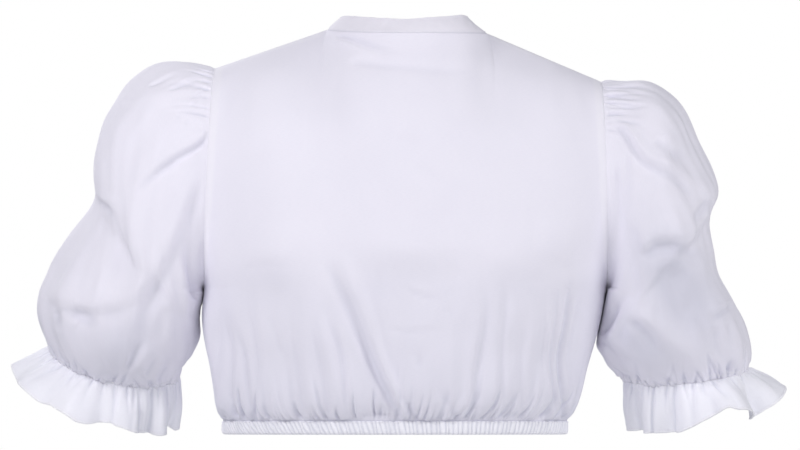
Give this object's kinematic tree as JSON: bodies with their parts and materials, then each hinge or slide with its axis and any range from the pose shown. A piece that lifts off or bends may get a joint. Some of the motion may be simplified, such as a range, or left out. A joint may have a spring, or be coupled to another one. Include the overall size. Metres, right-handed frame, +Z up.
{
  "type": "peasant blouse",
  "caption": "Cropped white cotton blouse, filled out as when worn, with a stand collar, puffed elbow sleeves gathered into frills, and an elasticated hem.",
  "frame": {"origin": "midway between the two neck points, where the shoulder seams meet the collar band, on the plane of the shoulder and side seams", "axes": "+X to the wearer's left, -Y to the wearer's front, +Z up"},
  "size_m": [0.7431, 0.2541, 0.4019],
  "materials": {
    "back_cotton": "plain-weave cotton, matt, white with a cool cast",
    "front_cotton": "plain-weave cotton, matt, white with a cool cast",
    "collar_cotton": "plain-weave cotton, matt, white with a cool cast",
    "casing_back_cotton": "plain-weave cotton, matt, white with a cool cast",
    "casing_front_cotton": "plain-weave cotton, matt, white with a cool cast",
    "sleeve_left_cotton": "plain-weave cotton, matt, white with a cool cast",
    "ruffle_left_cotton": "plain-weave cotton, matt, white with a cool cast",
    "sleeve_right_cotton": "plain-weave cotton, matt, white with a cool cast",
    "ruffle_right_cotton": "plain-weave cotton, matt, white with a cool cast"
  },
  "bodies": {
    "root": {"back_panel": "back_cotton", "front_panel": "front_cotton", "collar_band": "collar_cotton", "hem_casing_back": "casing_back_cotton", "hem_casing_front": "casing_front_cotton", "sleeve_left": "sleeve_left_cotton", "cuff_ruffle_left": "ruffle_left_cotton", "sleeve_right": "sleeve_right_cotton", "cuff_ruffle_right": "ruffle_right_cotton"}
  },
  "joints": []
}
